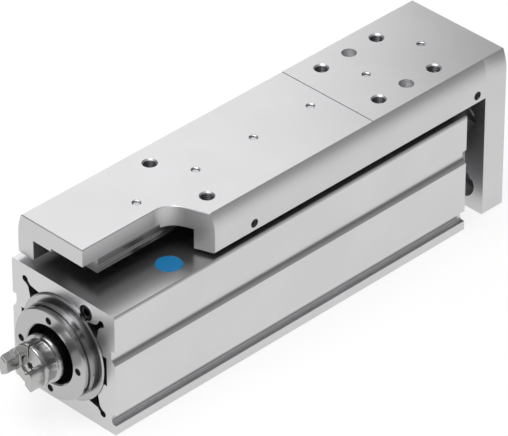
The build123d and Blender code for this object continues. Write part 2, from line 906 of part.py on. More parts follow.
with BuildPart() as guide_carriage:
    with BuildSketch(across(carriage_start)):
        with BuildLine():
            carriage_outline(arm_inner, carriage_floor, carriage_top)
        make_face()
        with Locations((-rail_ball_side, rail_ball_height), (rail_ball_side, rail_ball_height)):
            Circle(rail_groove_radius, mode=Mode.SUBTRACT)
    extrude(amount=-carriage_length)
    carriage_screw_seat = carriage_top - small_head_height - carriage_head_sink
    carriage_plane = Plane.XY.offset(carriage_top)
    drill(carriage_plane, carriage_spots, carriage_head + head_clearance, carriage_top - carriage_screw_seat)
    drill(carriage_plane, carriage_spots, carriage_shank + loose_gap, carriage_top - body_height)
guide_carriage.part.label = "guide_carriage"
export_step(guide_carriage.part, "parts/guide_carriage.step")

for name, start in (
    ("carriage_front_cap", carriage_start - carriage_cap),
    ("carriage_rear_cap", carriage_end),
):
    with BuildPart() as carriage_end_cap:
        with BuildSketch(across(start)):
            with BuildLine():
                carriage_outline(
                    rail_half + loose_gap, rail_low - 3 * loose_gap, carriage_top - carriage_cap_drop
                )
            make_face()
        extrude(amount=-carriage_cap)
    carriage_end_cap.part.label = name
    export_step(carriage_end_cap.part, "parts/" + name + ".step")

with BuildPart() as carriage_screws:
    socket_screws(
        Plane.XY.offset(carriage_screw_seat),
        carriage_spots,
        carriage_head,
        small_head_height,
        carriage_shank,
        carriage_screw_seat - body_height + carriage_bite,
        small_socket,
    )
carriage_screws.part.label = "carriage_screws"
export_step(carriage_screws.part, "parts/carriage_screws.step")

with BuildPart() as guide_balls:
    ball_step = (carriage_length - 2 * rail_ball_margin) / (rail_ball_count - 1)
    for index in range(rail_ball_count):
        ball_place = along(carriage_start + rail_ball_margin + ball_step * index)
        with Locations(
            (-rail_ball_side, ball_place, rail_ball_height), (rail_ball_side, ball_place, rail_ball_height)
        ):
            Sphere(rail_ball_radius)
guide_balls.part.label = "guide_balls"
export_step(guide_balls.part, "parts/guide_balls.step")

# Slide plate: a barrel sided channel with a notch over the lubrication plug
load_spots = [
    (side * load_pitch / 2, along(distance))
    for distance in (load_rear, load_rear - load_pitch, load_rear - load_pitch - load_front_offset)
    for side in (-1, 1)
]
centring_spots = [(side * load_pitch / 2, along(load_rear - load_pitch / 2)) for side in (-1, 1)]


def barrel_half(low):
    """Right half of the slide's outer section, from the middle of its low edge to its top."""
    Polyline((0, low), (slide_half_width - body_edge, low), (slide_half_width, low + body_edge))
    Line((slide_half_width, low + body_edge), (slide_half_width, slide_top - side_arc_drop))
    TangentArc(
        (slide_half_width, slide_top - side_arc_drop),
        (slide_top_half, slide_top - slide_edge),
        tangent=(0, 1),
    )
    Polyline(
        (slide_top_half, slide_top - slide_edge),
        (slide_top_half - slide_edge, slide_top),
        (0, slide_top),
    )
    mirror(about=Plane.YZ)


with BuildPart() as slide_plate:
    with BuildSketch(across(slide_front)):
        with BuildLine():
            barrel_half(slide_low)
        make_face()
        with Locations((0, slide_low)):
            Rectangle(
                2 * pocket_half,
                plate_low - slide_low,
                align=(Align.CENTER, Align.MIN),
                mode=Mode.SUBTRACT,
            )
        with Locations((0, plate_low)):
            Rectangle(
                2 * (rail_half + seat_gap),
                rail_sink,
                align=(Align.CENTER, Align.MIN),
                mode=Mode.SUBTRACT,
            )
    extrude(amount=-slide_length)
    # The rear pad stands a little proud behind a fine groove
    with BuildSketch(Plane.XY.offset(slide_top)) as pad:
        with Locations((0, along(yoke_inner - pad_length / 2))):
            Rectangle(2 * (slide_top_half - slide_edge), pad_length)
    extrude(amount=pad_rise)
    with BuildSketch(Plane.XY.offset(slide_top + pad_rise)) as line:
        with Locations((0, along(yoke_inner - pad_length))):
            Rectangle(2 * slide_half_width, line_width)
    extrude(amount=-line_depth - pad_rise, mode=Mode.SUBTRACT)
    # The notch is open to the front and to the right
    notch_run = slide_half_width + over_cut - notch_wall
    notch_corner = along(slide_front + notch_length)
    with BuildSketch(Plane.XY.offset(slide_low)) as notch:
        with BuildLine():
            FilletPolyline(
                (notch_wall, along(slide_front) - over_cut),
                (notch_wall, notch_corner),
                (notch_wall + notch_run, notch_corner + notch_run * tan(radians(notch_angle))),
                radius=notch_fillet,
            )
            Polyline(
                (notch_wall + notch_run, notch_corner + notch_run * tan(radians(notch_angle))),
                (notch_wall + notch_run, along(slide_front) - over_cut),
                (notch_wall, along(slide_front) - over_cut),
            )
        make_face()
    extrude(amount=slide_height + over_cut, mode=Mode.SUBTRACT)
    # The top's edges are broken all round the front and the notch
    front_top = slide_plate.faces().filter_by(Axis.Z).filter_by_position(
        Axis.Z, slide_top - line_depth / 2, slide_top + pad_rise / 2
    )
    front_outline = front_top.sort_by(Axis.Y)[0].outer_wire().edges()
    side_limit = slide_top_half - 2 * slide_edge
    notch_edges = front_outline.filter_by_position(Axis.X, -side_limit, side_limit)
    chamfer(notch_edges.filter_by_position(Axis.Y, along(0), along(2 * notch_length)), slide_edge)
    pad_plane = Plane.XY.offset(slide_top + pad_rise)
    front_plane = Plane.XY.offset(slide_top)
    drill(pad_plane, load_spots, load_thread_radius, plate_thickness + pad_rise)
    cone_mouths(pad_plane, load_spots[:4], load_countersink, load_thread_radius)
    cone_mouths(front_plane, load_spots[4:], load_countersink, load_thread_radius)
    drill(pad_plane, centring_spots, centring_radius, centring_depth)
    thread_spots = [(x, -y) for x, y in rail_spots]
    drill(pad_plane, thread_spots, small_shank + seat_gap, plate_thickness + pad_rise)
    side_spots = [
        (along(slide_front + side_hole_front), slide_low + side_hole_height),
        (along(yoke_inner - side_hole_rear), slide_low + side_hole_height),
    ]
    drill(Plane.YZ.offset(slide_half_width), side_spots, side_hole_radius, side_hole_depth)
    left_side = Plane(origin=(-slide_half_width, 0, 0), x_dir=(0, -1, 0), z_dir=(-1, 0, 0))
    drill(left_side, [(-y, z) for y, z in side_spots], side_hole_radius, side_hole_depth)
    end_face = rear_face(yoke_inner)
    drill(end_face, yoke_screw_spots, small_shank + seat_gap, yoke_screw_length)
    drill(end_face, dowel_spots, dowel_radius + seat_gap, dowel_length)
slide_plate.part.label = "slide_plate"
export_step(slide_plate.part, "parts/slide_plate.step")

# Yoke plate across the rear end, with load holes round the rod's bolt
axis_spot = [(0, axis_height)]
yoke_spots = [
    (side * load_pitch / 2, axis_height + level * load_pitch / 2) for side in (-1, 1) for level in (-1, 1)
]
with BuildPart() as yoke_plate:
    with BuildSketch(across(yoke_inner)):
        with BuildLine():
            barrel_half(yoke_low)
        make_face()
    extrude(amount=-yoke_thickness)
    outer_edges = yoke_plate.faces().sort_by(Axis.Y)[-1].edges()
    chamfer(outer_edges, yoke_edge)
    drill(across(yoke_inner), yoke_spots, yoke_hole_radius, yoke_thickness)
    drill(across(yoke_inner), yoke_spots, yoke_recess_radius, yoke_recess_depth)
    outer_plane = rear_face(yoke_outer)
    drill(outer_plane, axis_spot, rod_bolt + loose_gap, yoke_thickness)
    drill(outer_plane, axis_spot, rod_bolt_head + head_clearance, rod_bolt_head_height + rod_bolt_sink)
    drill(outer_plane, yoke_screw_spots, small_shank + loose_gap, yoke_thickness)
    drill(outer_plane, yoke_screw_spots, small_head + head_clearance, head_depth)
    drill(outer_plane, dowel_spots, dowel_radius + seat_gap, yoke_thickness)
yoke_plate.part.label = "yoke_plate"
export_step(yoke_plate.part, "parts/yoke_plate.step")

with BuildPart() as yoke_screws:
    socket_screws(
        rear_face(yoke_outer - head_depth),
        yoke_screw_spots,
        small_head,
        small_head_height,
        small_shank,
        yoke_thickness - head_depth + yoke_screw_length - yoke_screw_spare,
        small_socket,
    )
yoke_screws.part.label = "yoke_screws"
export_step(yoke_screws.part, "parts/yoke_screws.step")

with BuildPart() as yoke_dowels:
    dowel_reach = yoke_thickness + dowel_length - 2 * dowel_sink
    drill(rear_face(yoke_outer - dowel_sink), dowel_spots, dowel_radius, dowel_reach, Mode.ADD)
yoke_dowels.part.label = "yoke_dowels"
export_step(yoke_dowels.part, "parts/yoke_dowels.step")

with BuildPart() as rod_bolt_screw:
    socket_screws(
        rear_face(yoke_outer - rod_bolt_head_height - rod_bolt_sink),
        axis_spot,
        rod_bolt_head,
        rod_bolt_head_height,
        rod_bolt,
        yoke_thickness - rod_bolt_head_height - rod_bolt_sink + rod_bolt_depth - rod_bolt_spare,
        rod_bolt_socket,
    )
rod_bolt_screw.part.label = "rod_bolt"
export_step(rod_bolt_screw.part, "parts/rod_bolt.step")
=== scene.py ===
import json
from math import atan2, cos, hypot, pi, radians, sin

import bmesh
import bpy
from mathutils import Matrix, Vector


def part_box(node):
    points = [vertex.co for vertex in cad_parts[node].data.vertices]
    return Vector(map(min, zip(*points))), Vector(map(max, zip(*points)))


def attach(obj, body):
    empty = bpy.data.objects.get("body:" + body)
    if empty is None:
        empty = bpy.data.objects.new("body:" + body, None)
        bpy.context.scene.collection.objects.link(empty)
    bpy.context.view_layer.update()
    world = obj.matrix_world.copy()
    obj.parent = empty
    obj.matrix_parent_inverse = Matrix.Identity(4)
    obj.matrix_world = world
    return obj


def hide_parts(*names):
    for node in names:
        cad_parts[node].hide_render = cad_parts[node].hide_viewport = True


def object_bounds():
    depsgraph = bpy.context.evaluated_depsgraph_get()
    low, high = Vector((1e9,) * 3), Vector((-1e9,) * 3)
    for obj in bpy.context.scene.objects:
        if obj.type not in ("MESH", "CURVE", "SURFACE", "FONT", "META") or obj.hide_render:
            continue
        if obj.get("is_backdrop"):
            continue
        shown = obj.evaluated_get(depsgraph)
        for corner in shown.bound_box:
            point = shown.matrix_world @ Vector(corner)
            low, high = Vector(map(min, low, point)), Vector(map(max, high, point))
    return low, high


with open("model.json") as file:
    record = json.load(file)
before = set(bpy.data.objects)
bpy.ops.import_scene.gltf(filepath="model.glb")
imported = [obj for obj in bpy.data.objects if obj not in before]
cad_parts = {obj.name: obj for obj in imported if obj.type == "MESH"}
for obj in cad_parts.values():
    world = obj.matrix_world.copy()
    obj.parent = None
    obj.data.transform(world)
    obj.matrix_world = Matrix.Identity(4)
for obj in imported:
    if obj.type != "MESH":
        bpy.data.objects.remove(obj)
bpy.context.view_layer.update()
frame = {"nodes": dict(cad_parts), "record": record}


# Camera. The photograph looks down on the motor end from the notched side through a
# long lens, so the far end of the module is hardly smaller than the near one.
camera_data = bpy.data.cameras.new("photo_camera")
camera_data.lens = 349.3
camera_data.sensor_width = 36.0
camera_data.sensor_fit = "HORIZONTAL"
camera_data.clip_start = 0.05
camera_data.clip_end = 50.0
camera = bpy.data.objects.new("photo_camera", camera_data)
camera.location = (0.8918, -0.8869, 0.9053)
camera.rotation_euler = (radians(55.21), 0.0, radians(45.02))
bpy.context.scene.collection.objects.link(camera)
bpy.context.scene.camera = camera
bpy.context.scene.view_settings.view_transform = "Standard"


# Studio. A white table, a dim room and two soft boxes, the usual set for a picture of bare metal:
# upright faces mirror the table, and the slide's top mirrors a box. The room is white where it is
# looked at, and dim where metal mirrors it, which gives the turned faces their dark bands.
def linear(hex_colour):
    """sRGB hex to the linear colour that shaders take."""
    parts = [int(hex_colour[i : i + 2], 16) / 255 for i in (1, 3, 5)]
    return [p / 12.92 if p <= 0.04045 else ((p + 0.055) / 1.055) ** 2.4 for p in parts] + [1.0]


def add(tree, kind, links=(), **settings):
    """Add one shader node; each link is an input's name or number, and a socket or a value."""
    made = tree.nodes.new("ShaderNode" + kind)
    for name, value in settings.items():
        setattr(made, name, value)
    for name, value in links:
        if isinstance(value, bpy.types.NodeSocket):
            tree.links.new(value, made.inputs[name])
        else:
            made.inputs[name].default_value = value
    return made


# To a reflection, the room is dim near the table's level and half lit overhead
room_low, room_high = 0.06, 0.5
dim_below, lit_above = 0.05, 0.8
world = bpy.data.worlds.new("studio_room")
bpy.context.scene.world = world
world.use_nodes = True
sky = world.node_tree
sky.nodes.clear()
rays = add(sky, "LightPath")
seen = add(sky, "Math", [(0, rays.outputs["Is Camera Ray"]), (1, rays.outputs["Is Transmission Ray"])],
           operation="MAXIMUM")
toward = add(sky, "SeparateXYZ", [(0, add(sky, "TexCoord").outputs["Generated"])])
level = add(sky, "MapRange", [("Value", toward.outputs["Z"]), ("From Min", dim_below),
                              ("From Max", lit_above), ("To Min", room_low), ("To Max", room_high)])
room = add(sky, "Background", [("Color", linear("#f6f6f7")), ("Strength", level.outputs[0])])
white = add(sky, "Background", [("Color", linear("#ffffff")), ("Strength", 1.0)])
both = add(sky, "MixShader", [(0, seen.outputs[0]), (1, room.outputs[0]), (2, white.outputs[0])])
add(sky, "OutputWorld", [("Surface", both.outputs[0])])

# The table's matt white keeps the shadow, and its glow makes it as pale as the backdrop. To a
# reflection the glow fades away from the module, which shades the slide's rounded flanks.
glow_share = 0.8
glow_near, glow_far = 1.05, 0.35
fade_start, fade_end = 0.18, 0.5
table_radius = 6.0
table_paint = bpy.data.materials.new("white_table")
table_paint.use_nodes = True
tree = table_paint.node_tree
tree.nodes.clear()
rays = add(tree, "LightPath")
seen = add(tree, "Math", [(0, rays.outputs["Is Camera Ray"]), (1, rays.outputs["Is Glossy Ray"])],
           operation="MAXIMUM")
seen = add(tree, "Math", [(0, seen.outputs[0]), (1, rays.outputs["Is Transmission Ray"])],
           operation="MAXIMUM")
share = add(tree, "Math", [(0, seen.outputs[0]), (1, glow_share)], operation="MULTIPLY")
paint = add(tree, "BsdfDiffuse", [("Color", linear("#f2f2f2"))])
apart = add(tree, "VectorMath", [(0, add(tree, "TexCoord").outputs["Object"])], operation="LENGTH")
fade = add(tree, "MapRange", [("Value", apart.outputs["Value"]), ("From Min", fade_start),
                              ("From Max", fade_end), ("To Min", glow_near), ("To Max", glow_far)])
strength = add(tree, "Mix", [("Factor", rays.outputs["Is Camera Ray"]), ("A", fade.outputs[0]),
                             ("B", glow_near)], data_type="FLOAT")
glow = add(tree, "Emission", [("Color", linear("#ffffff")), ("Strength", strength.outputs[0])])
both = add(tree, "MixShader", [(0, share.outputs[0]), (1, paint.outputs[0]), (2, glow.outputs[0])])
add(tree, "OutputMaterial", [("Surface", both.outputs[0])])
bm = bmesh.new()
bmesh.ops.create_circle(bm, cap_ends=True, radius=table_radius, segments=96)
mesh = bpy.data.meshes.new("studio_table")
bm.to_mesh(mesh)
bm.free()
mesh.materials.append(table_paint)
table = bpy.data.objects.new("studio_table", mesh)
bpy.context.scene.collection.objects.link(table)
table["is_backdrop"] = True

# The slide box stands behind the module, and the key box hangs over it
for name, place, aim, size, power in (
    ("slide_box", (-0.278, 0.159, 0.318), (-0.016, -0.066, 0.06), 0.31, 0.345),
    ("key_box", (0.05, -0.25, 0.95), (0.0, 0.0, 0.03), 0.6, 6.0),
):
    lamp_data = bpy.data.lights.new(name, "AREA")
    lamp_data.shape = "SQUARE"
    lamp_data.size = size
    lamp_data.energy = power
    lamp = bpy.data.objects.new(name, lamp_data)
    lamp.location = place
    lamp.rotation_euler = (Vector(aim) - Vector(place)).to_track_quat("-Z", "Y").to_euler()
    lamp.visible_camera = False
    bpy.context.scene.collection.objects.link(lamp)


# Extruded body. A 45 mm aluminium profile, pushed through a die, sawn to length and natural
# anodised. Four tapped holes in its underside take the screws that hold the module.
mm = 0.001
axis_height = 22.0 * mm
mounts = {mount["name"]: mount for mount in frame["record"]["mounts"]}


def surface(name, colour, roughness, grain_mm, run=None, spread=0.03, bump=0.3, metallic=1.0):
    """A surface with grain along X, Y or Z, round the screw's axis ("turned"), or with no run.

    The real tool marks and grit are finer than grain_mm, at which they are drawn so that they show.
    """
    line_stretch = 40
    grain_rise = 0.02
    cloud_mm, cloud_shade = 25.0, 0.95
    noise_low, noise_high = 0.3, 0.7
    made = bpy.data.materials.new(name)
    made.use_nodes = True
    tree = made.node_tree
    tree.nodes.clear()
    place = add(tree, "TexCoord").outputs["Object"]
    cycles = 1.0 / (grain_mm * mm)
    scale = [cycles / line_stretch if letter == run else cycles for letter in "XYZ"]
    grain_place = place
    if run == "turned":
        centred = add(tree, "Mapping", [("Vector", place), ("Location", (0, 0, -axis_height))])
        split = add(tree, "SeparateXYZ", [(0, centred.outputs[0])])
        flat = add(tree, "CombineXYZ", [("X", split.outputs["X"]), ("Z", split.outputs["Z"])])
        radius = add(tree, "VectorMath", [(0, flat.outputs[0])], operation="LENGTH")
        lathe = add(tree, "CombineXYZ", [("X", radius.outputs["Value"]), ("Y", split.outputs["Y"])])
        grain_place = lathe.outputs[0]
    squeeze = add(tree, "Mapping", [("Vector", grain_place), ("Scale", scale)])
    grain = add(tree, "TexNoise", [("Vector", squeeze.outputs[0]), ("Scale", 1.0), ("Detail", 2.0)])
    cloud = add(tree, "TexNoise", [("Vector", place), ("Scale", 1.0 / (cloud_mm * mm)), ("Detail", 2.0)])
    rough = add(tree, "MapRange", [("Value", grain.outputs[0]), ("From Min", noise_low),
                                   ("From Max", noise_high), ("To Min", roughness - spread),
                                   ("To Max", roughness + spread)])
    tone = add(tree, "MapRange", [("Value", cloud.outputs[0]), ("From Min", noise_low),
                                  ("From Max", noise_high)])
    darker = [value * cloud_shade for value in linear(colour)[:3]] + [1.0]
    shade = add(tree, "Mix", [("Factor", tone.outputs[0]), ("A", darker), ("B", linear(colour))],
                data_type="RGBA")
    rise = add(tree, "Bump", [("Height", grain.outputs[0]), ("Distance", grain_mm * mm * grain_rise),
                              ("Strength", bump)])
    shader = add(tree, "BsdfPrincipled", [("Base Color", shade.outputs["Result"]), ("Metallic", metallic),
                                          ("Roughness", rough.outputs[0]), ("Normal", rise.outputs[0])])
    add(tree, "OutputMaterial", [("Surface", shader.outputs[0])])
    return made


def finish(material, *names):
    """Give CAD nodes their finish in the material slots that they have."""
    for name in names:
        for slot in frame["nodes"][name].material_slots:
            slot.material = material


def facing(place, outward):
    """Matrix that stands a piece made along +Z at a place, with its top facing outward."""
    turned = Vector(outward).to_track_quat("Z", "Y").to_matrix().to_4x4()
    return Matrix.Translation(place) @ turned


def pattern(name):
    """Places of a bolt pattern's holes, and the way they face, as the record's mount says."""
    mount = mounts[name]
    sizes = mount["dims"]
    middle, outward = Vector(mount["pos_m"]), Vector(mount["axis"])
    if "pcd_mm" in sizes:
        around = [2 * pi * index / sizes["count"] for index in range(sizes["count"])]
        steps = [(sizes["pcd_mm"] / 2 * cos(angle), sizes["pcd_mm"] / 2 * sin(angle)) for angle in around]
    else:
        across, along = sizes.get("spacing_x_mm", 0), sizes.get("spacing_y_mm", 0)
        steps = [(x, y) for x in {-across / 2, across / 2} for y in {-along / 2, along / 2}]
    if outward.z:
        ways = Vector((1, 0, 0)), Vector((0, 1, 0))
    elif outward.y:
        ways = Vector((1, 0, 0)), Vector((0, 0, 1))
    else:
        ways = Vector((0, 1, 0)), Vector((0, 0, 1))
    return [middle + (x * ways[0] + y * ways[1]) * mm for x, y in sorted(steps)], outward


def copies(part, stands, into=None):
    """Copy a small bmesh to each stand, into a larger one or a new one, and free it."""
    mesh = bpy.data.meshes.new("part")
    part.to_mesh(mesh)
    part.free()
    made = bmesh.new() if into is None else into
    for stand in stands:
        old = len(made.verts)
        made.from_mesh(mesh)
        made.verts.ensure_lookup_table()
        bmesh.ops.transform(made, matrix=stand, verts=made.verts[old:])
    bpy.data.meshes.remove(mesh)
    return made


def thread_ridge(root, crest, pitch, start, length):
    """One helical ridge down from the depth start: inwards from a hole's wall, or round a shank."""
    turn = bmesh.new()
    foot_share = 0.9
    foot = pitch * foot_share
    corners = ((root, -start), (crest, -start - foot / 2), (root, -start - foot))
    points = [turn.verts.new((radius * mm, 0, height * mm)) for radius, height in corners]
    edges = [turn.edges.new((points[i - 1], points[i])) for i in range(3)]
    steps = 24
    bmesh.ops.spin(turn, geom=points + edges, cent=(0, 0, 0), axis=(0, 0, 1),
                   dvec=(0, 0, -pitch * mm / steps), angle=-2 * pi, steps=steps)
    turns = max(1, int(length / pitch - foot_share))
    ridge = copies(turn, [Matrix.Translation((0, 0, -pitch * mm * index)) for index in range(turns)])
    same_point = 0.0001 * mm
    bmesh.ops.remove_doubles(ridge, verts=ridge.verts, dist=same_point)
    bmesh.ops.holes_fill(ridge, edges=ridge.edges, sides=3)
    return ridge


# A ridge's foot is sunk this many millimetres into the wall or the shank that it stands on
foot_sunk = 0.02


def hole_threads(name, pitch, bite, start, depth, into=None):
    """Cut a thread into each hole of a bolt pattern, between two depths."""
    places, outward = pattern(name)
    hole = mounts[name]["dims"]["hole_r_mm"]
    ridge = thread_ridge(hole + foot_sunk, hole - bite, pitch, start, depth - start)
    return copies(ridge, [facing(place, outward) for place in places], into)


def piece(name, bm, material, body, slot, *stands_for):
    """Close a bmesh into a piece that rides on a body and may stand for CAD nodes."""
    sharp_from = radians(32)
    bmesh.ops.recalc_face_normals(bm, faces=bm.faces)
    mesh = bpy.data.meshes.new(name)
    bm.to_mesh(mesh)
    bm.free()
    mesh.shade_smooth()
    mesh.set_sharp_from_angle(angle=sharp_from)
    mesh.materials.append(material)
    made = bpy.data.objects.new(name, mesh)
    bpy.context.scene.collection.objects.link(made)
    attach(made, body)
    if stands_for:
        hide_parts(*stands_for)
    return made


# Anodised extrusion is satin, with fine die lines along it that draw out what it mirrors
profile_finish = surface("anodised_extrusion", "#d0d0d1", 0.31, 0.3, "Y", spread=0.012, bump=0.05)
finish(profile_finish, "profile_housing")

# Cut threads are duller than the skin round them, and their darker colour is painted shade for the depth of
# their holes
painted_shade_thread_finish = surface("cut_thread_painted_shade", "#606163", 0.4, 0.2)
base_pitch, base_bite, base_start, base_depth = 0.7, 0.25, 0.1, 5.0
bm = hole_threads("base_bolts", base_pitch, base_bite, base_start, base_depth)
piece("base_bolt_threads", bm, painted_shade_thread_finish, "body_unit", "profile_aluminium")


# Motor flange. A bearing cap turned from aluminium bar in one setting and pushed into the
# bore, with four tapped holes on its face for the motor kit.
motor_pitch, motor_bite, motor_start, motor_depth = 0.5, 0.2, 1.0, 5.2

# Turned aluminium is bright, and its rings spread each reflection round the axis
turned_finish = surface("turned_aluminium", "#b7b7b8", 0.25, 0.25, "turned", spread=0.01, bump=0.05)
finish(turned_finish, "motor_flange")

bm = hole_threads("motor_bolts", motor_pitch, motor_bite, motor_start, motor_depth)
# The motor holes' threads are darkened with the same painted shade
piece("motor_bolt_threads", bm, painted_shade_thread_finish, "body_unit", "turned_aluminium")


# Lock screw of the flange. A small blackened cap screw in a recess beside the bore, whose
# head overlaps the flange's land.
def step(bm, loop, radius, drop):
    """Extrude a ring of edges to a radius, and down by drop, and return the new ring."""
    made = bmesh.ops.extrude_edge_only(bm, edges=loop)["geom"]
    points = [g for g in made if isinstance(g, bmesh.types.BMVert)]
    widest = max(hypot(v.co.x, v.co.y) for v in points)
    bmesh.ops.scale(bm, vec=(radius * mm / widest, radius * mm / widest, 1), verts=points)
    bmesh.ops.translate(bm, vec=(0, 0, -drop * mm), verts=points)
    kept = set(points)
    return [g for g in made if isinstance(g, bmesh.types.BMEdge) and set(g.verts) <= kept]


def knurl(loop, depth):
    """Press every second point of a ring inwards, as the teeth of a rolled grip."""
    points = sorted({v for edge in loop for v in edge.verts}, key=lambda v: atan2(v.co.y, v.co.x))
    for point in points[::2]:
        point.co.xy *= 1 - depth * mm / hypot(point.co.x, point.co.y)


def socket_screw(head, height, shank, length, key, pitch, lobes=False, grip=0.07):
    """A cap screw with a rolled grip, a hex or six lobe key hole, and a cut thread.

    Sizes are in millimetres: head and shank are radii, and key is the width of the key hole.
    """
    bm = bmesh.new()
    around = 72
    edge = head * 0.09
    key_radius = key / 2 if lobes else key / 2 / cos(pi / 6)
    key_depth, drilled_depth, drilled_end = height * 0.55, height * 0.1, 0.001
    lobe_dip = 0.13
    if lobes:
        ring = bmesh.ops.create_circle(bm, segments=around, radius=key_radius * mm)["verts"]
        for point in ring:
            point.co.xy *= 1 - lobe_dip + lobe_dip * cos(6 * atan2(point.co.y, point.co.x))
    else:
        ring = bmesh.ops.create_circle(bm, segments=6, radius=key_radius * mm)["verts"]
        sides = list({e for point in ring for e in point.link_edges})
        bmesh.ops.subdivide_edges(bm, edges=sides, cuts=around // 6 - 1)
        ring = list(bm.verts)
    key_loop = list({e for point in ring for e in point.link_edges})
    rim = bmesh.ops.create_circle(bm, segments=around, radius=(head - edge) * mm)["verts"]
    rim_loop = list({e for point in rim for e in point.link_edges})
    bmesh.ops.translate(bm, vec=(0, 0, height * mm), verts=ring + rim)
    bmesh.ops.bridge_loops(bm, edges=key_loop + rim_loop)
    floor = step(bm, key_loop, key_radius, key_depth)
    tip = step(bm, floor, drilled_end, drilled_depth)
    bmesh.ops.contextual_create(bm, geom=tip)
    shoulder = step(bm, rim_loop, head, edge)
    skirt = step(bm, shoulder, head, height - 2 * edge)
    under = step(bm, skirt, head - edge, edge)
    knurl(shoulder, grip)
    knurl(skirt, grip)
    core = shank - 0.6 * pitch
    end_length, end_taper = 0.5 * pitch, 0.4 * pitch
    neck = step(bm, under, core, 0)
    stem = step(bm, neck, core, length - end_length)
    end = step(bm, stem, core - end_taper, end_length)
    bmesh.ops.contextual_create(bm, geom=end)
    return copies(thread_ridge(core - foot_sunk, shank, pitch, 0, length), [Matrix()], bm)


# Blackened steel is nearly black, with a dull sheen on its edges
black_steel = surface("blackened_steel", "#2a2a2c", 0.38, 0.3, spread=0.06)

low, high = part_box("flange_lock_screw")
lock_head, lock_height, lock_shank, lock_key, lock_pitch = 2.6, 1.6, 1.25, 2.5, 0.45
lock_seat = Vector(((low.x + high.x) / 2, low.y + lock_height * mm, (low.z + high.z) / 2))
lock_length = (high.y - lock_seat.y) / mm
screw = socket_screw(lock_head, lock_height, lock_shank, lock_length, lock_key, lock_pitch)
bm = copies(screw, [facing(lock_seat, (0, -1, 0))])
piece("flange_cap_screw", bm, black_steel, "body_unit", "screw_steel", "flange_lock_screw")


# Spindle bearing. A double row ball bearing of ground bearing steel, clamped in the flange
# by a zinc plated ring and on the spindle by a blackened lock nut; its cage is moulded plastic.

# Ground bearing steel is bright grey, and its fine rings blur what it mirrors a little
ground_steel = surface("ground_bearing_steel", "#a9a9aa", 0.2, 0.2, "turned", bump=0.3)
finish(ground_steel, "bearing_outer_ring", "bearing_inner_ring")

# Polished balls mirror nearly as sharply as glass
polished_steel = surface("polished_ball_steel", "#c8c9cb", 0.07, 0.5, spread=0.01, bump=0.05)
finish(polished_steel, "bearing_balls")

# Zinc plating is a pale, cool grey with a soft and slightly uneven shine
zinc_steel = surface("zinc_plated_steel", "#b4b5b8", 0.28, 0.3, spread=0.05)
finish(zinc_steel, "bearing_clamp_ring")
finish(black_steel, "lock_nut")

# Moulded plastic is black all through, and matt from the skin of its mould
black_plastic = surface("black_moulded_plastic", "#1d1d1e", 0.5, 0.3, metallic=0.0)
finish(black_plastic, "bearing_cage")


# Coupling hub. Turned from aluminium bar, then milled to two jaws and slit, so that its central
# screw with a six lobe key hole closes it on the spindle's journal.
def break_edges(name):
    """Round a node's sharp edges a little, as deburring leaves them, so that they catch light."""
    node = frame["nodes"][name]
    joined = node.modifiers.new("joined", "WELD")
    joined.merge_threshold = 0.001 * mm
    flat = node.modifiers.new("flat_faces_whole", "DECIMATE")
    flat.decimate_type = "DISSOLVE"
    flat.angle_limit = radians(0.5)
    broken = node.modifiers.new("broken_edges", "BEVEL")
    broken.width = 0.15 * mm
    broken.segments = 2
    broken.angle_limit = radians(40)
    broken.use_clamp_overlap = False
    broken.harden_normals = True


# The hub's last cut is fine, so it is bright and even, and its screw is as bright
hub_finish = surface("turned_hub_aluminium", "#b5b5b4", 0.25, 0.4, "turned", spread=0.005, bump=0.01)
finish(hub_finish, "coupling_hub")
break_edges("coupling_hub")

low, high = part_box("coupling_screw")
hub_head, hub_height, hub_shank = (high.x - low.x) / 2 / mm, 2.8, 1.5
hub_key, hub_pitch = 2.9, 0.5
hub_seat = Vector((0, low.y + hub_height * mm, axis_height))
hub_length = (high.y - hub_seat.y) / mm
screw = socket_screw(hub_head, hub_height, hub_shank, hub_length, hub_key, hub_pitch, lobes=True, grip=0)
bm = copies(screw, [facing(hub_seat, (0, -1, 0))])
piece("coupling_cap_screw", bm, hub_finish, "screw_unit", "screw_steel", "coupling_screw")


# Spindle and nut. Both are ground from bearing steel, with polished balls between them. Acetal
# keeps the nut from turning and steadies the spindle's end, rubber buffers end the stroke, and
# position switches sense a ferrite ring on the nut.
finish(ground_steel, "spindle", "ball_nut")
finish(polished_steel, "nut_balls")

# Natural acetal is a milky white, and turning leaves it a waxy, dull sheen
acetal = surface("natural_acetal", "#dad8ce", 0.45, 0.3, metallic=0.0)
finish(acetal, "spindle_support_ring", "nut_guide_ring")

# Bonded ferrite is pressed, and comes out dark grey and dull, with a fine grain
ferrite = surface("bonded_ferrite", "#2b2b2c", 0.55, 0.1, metallic=0.0)
finish(ferrite, "nut_magnet_ring")

# Moulded rubber is black, and so matt that it hardly mirrors
rubber = surface("black_rubber", "#171717", 0.65, 0.3, metallic=0.0)
finish(rubber, "motor_end_buffer", "rod_end_buffer")


# Piston rod and end cap. A hard chromed tube that runs in a sintered bronze bush, through a
# rubber wiper, in a die cast cap with four screws into the body's corner channels.
finish(rubber, "wiper_seal")

# Hard chrome is polished, so it mirrors sharply, drawn out a little round the rod
rod_chrome = surface("hard_chrome", "#cfd0d2", 0.09, 0.2, "turned", spread=0.02, bump=0.1)
finish(rod_chrome, "piston_rod")

# Die cast aluminium is a duller and darker grey than plate, with an uneven skin
cap_finish = surface("die_cast_aluminium", "#8f9092", 0.42, 0.4, spread=0.05)
finish(cap_finish, "rod_end_cap")

# Sintered bronze is a brown gold, dulled by its pores
bronze = surface("sintered_bronze", "#a57a45", 0.45, 0.1, spread=0.06)
finish(bronze, "rod_bush")

